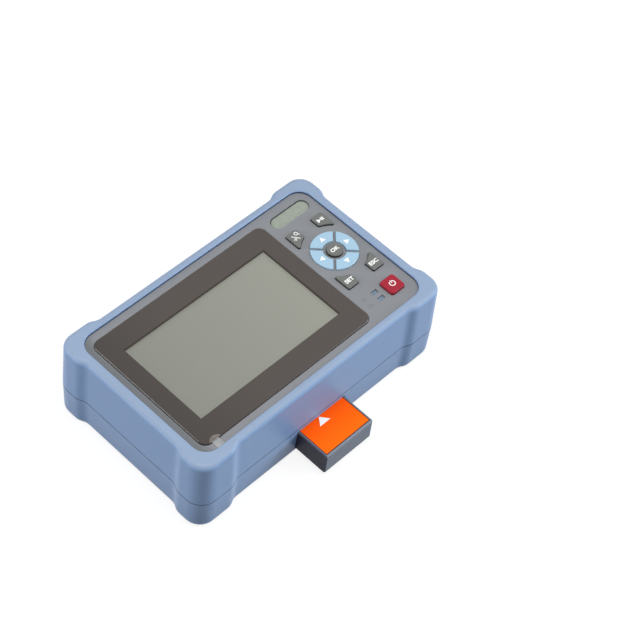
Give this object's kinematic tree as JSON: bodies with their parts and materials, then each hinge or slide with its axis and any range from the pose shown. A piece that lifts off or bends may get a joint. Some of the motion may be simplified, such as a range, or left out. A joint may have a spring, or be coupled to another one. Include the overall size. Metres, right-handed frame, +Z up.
{
  "type": "optical time domain reflectometer",
  "caption": "Handheld fibre tester with a recessed touch display, navigation and function keys, a bumpered two-part case and a slide-out remote cable-test terminator.",
  "frame": {"origin": "centre of the flat underside of the housing, lying on its back", "axes": "+X along the long side towards the keys, +Y towards the long edge with the sockets, +Z up out of the display"},
  "size_m": [0.1706, 0.1227, 0.0505],
  "materials": {
    "housing_blue": "fine satin moulded surface",
    "gasket_black": "matte",
    "screw_steel": "satin",
    "panel_grey": "satin",
    "clear_glass": "polished",
    "mask_brown": "printed border",
    "lcd_grey": "unlit display",
    "tray_steel": "pressed sheet",
    "film_white": "thin protective film",
    "plate_silver": "satin",
    "light_window": "smoked",
    "circuit_green": "solder mask",
    "mat_grey": "silicone",
    "brass_plain": "plain",
    "shield_tin": "tin plate",
    "black_plastic": "moulded",
    "battery_wrap": "shrink wrap",
    "engine_aluminium": "milled",
    "fibre_yellow": "fibre jacket",
    "lead_red": "wire insulation",
    "flex_amber": "polyimide film",
    "contact_gold": "gold plate",
    "adapter_metal": "nickel plate",
    "key_pale_blue": "silicone coated",
    "key_dark": "silicone coated",
    "key_red": "silicone coated",
    "remote_grey": "moulded",
    "label_orange": "printed vinyl",
    "stand_grey": "moulded",
    "door_rubber": "soft cover"
  },
  "bodies": {
    "housing": {"upper_housing": "housing_blue", "lower_housing": "housing_blue", "seam_gasket": "gasket_black", "housing_screws": "screw_steel", "front_panel": "panel_grey", "touch_glass": "clear_glass", "display_mask": "mask_brown", "lcd_module": "lcd_grey", "lcd_tray": "tray_steel", "film_tab": "film_white", "nameplate": "plate_silver", "status_lights": "light_window", "key_board": "circuit_green", "keypad_mat": "mat_grey", "main_board": "circuit_green", "board_standoffs": "brass_plain", "board_parts": "shield_tin", "buzzer": "black_plastic", "battery_pack": "battery_wrap", "battery_strap": "tray_steel", "optical_engine": "engine_aluminium", "fibre_coil": "fibre_yellow", "battery_leads": "lead_red", "fibre_pigtails": "fibre_yellow", "display_flex": "flex_amber", "key_flex": "flex_amber", "cable_test_jack": "black_plastic", "jack_contacts": "contact_gold", "usb_socket": "shield_tin", "charge_socket": "black_plastic", "adapter_plate": "engine_aluminium", "otdr_adapter": "adapter_metal", "power_meter_adapter": "adapter_metal", "fault_locator_adapter": "adapter_metal", "electrical_door_pin": "screw_steel", "optical_door_pin": "screw_steel", "stand_pin": "screw_steel"},
    "key_up": {"key_up": "key_pale_blue"},
    "key_down": {"key_down": "key_pale_blue"},
    "key_left": {"key_left": "key_pale_blue"},
    "key_right": {"key_right": "key_pale_blue"},
    "key_ok": {"key_ok": "key_dark"},
    "key_tools": {"key_tools": "key_dark"},
    "key_run": {"key_run": "key_dark"},
    "key_set": {"key_set": "key_dark"},
    "key_escape": {"key_escape": "key_dark"},
    "key_power": {"key_power": "key_red"},
    "remote": {"remote_case": "remote_grey", "remote_label": "label_orange", "remote_jack": "black_plastic", "remote_end": "remote_grey", "remote_board": "circuit_green"},
    "electrical_door": {"electrical_door": "door_rubber"},
    "optical_door": {"optical_door": "door_rubber"},
    "tilt_stand": {"tilt_stand": "stand_grey"}
  },
  "joints": [
    {"name": "key_up_press", "type": "slide", "parent": "housing", "child": "key_up", "axis": [0, 0, -1], "range_m": [0, 0.0008], "stiffness_N_per_m": 1200},
    {"name": "key_down_press", "type": "slide", "parent": "housing", "child": "key_down", "axis": [0, 0, -1], "range_m": [0, 0.0008], "stiffness_N_per_m": 1200},
    {"name": "key_left_press", "type": "slide", "parent": "housing", "child": "key_left", "axis": [0, 0, -1], "range_m": [0, 0.0008], "stiffness_N_per_m": 1200},
    {"name": "key_right_press", "type": "slide", "parent": "housing", "child": "key_right", "axis": [0, 0, -1], "range_m": [0, 0.0008], "stiffness_N_per_m": 1200},
    {"name": "key_ok_press", "type": "slide", "parent": "housing", "child": "key_ok", "axis": [0, 0, -1], "range_m": [0, 0.0008], "stiffness_N_per_m": 1200},
    {"name": "key_tools_press", "type": "slide", "parent": "housing", "child": "key_tools", "axis": [0, 0, -1], "range_m": [0, 0.0008], "stiffness_N_per_m": 1200},
    {"name": "key_run_press", "type": "slide", "parent": "housing", "child": "key_run", "axis": [0, 0, -1], "range_m": [0, 0.0008], "stiffness_N_per_m": 1200},
    {"name": "key_set_press", "type": "slide", "parent": "housing", "child": "key_set", "axis": [0, 0, -1], "range_m": [0, 0.0008], "stiffness_N_per_m": 1200},
    {"name": "key_escape_press", "type": "slide", "parent": "housing", "child": "key_escape", "axis": [0, 0, -1], "range_m": [0, 0.0008], "stiffness_N_per_m": 1200},
    {"name": "key_power_press", "type": "slide", "parent": "housing", "child": "key_power", "axis": [0, 0, -1], "range_m": [0, 0.0008], "stiffness_N_per_m": 1200},
    {"name": "remote_slide", "type": "slide", "parent": "housing", "child": "remote", "axis": [0, -1, 0], "range_m": [-0.02, 0.03]},
    {"name": "electrical_door_hinge", "type": "hinge", "parent": "housing", "child": "electrical_door", "pos_m": [-0.031, 0.0486, 0.0256], "axis": [-1, 0, 0], "range_deg": [0, 95]},
    {"name": "optical_door_hinge", "type": "hinge", "parent": "housing", "child": "optical_door", "pos_m": [0.031, 0.0486, 0.0256], "axis": [-1, 0, 0], "range_deg": [0, 95]},
    {"name": "stand_hinge", "type": "hinge", "parent": "housing", "child": "tilt_stand", "pos_m": [0, 0.039, 0.0021], "axis": [1, 0, 0], "range_deg": [0, 70]}
  ]
}
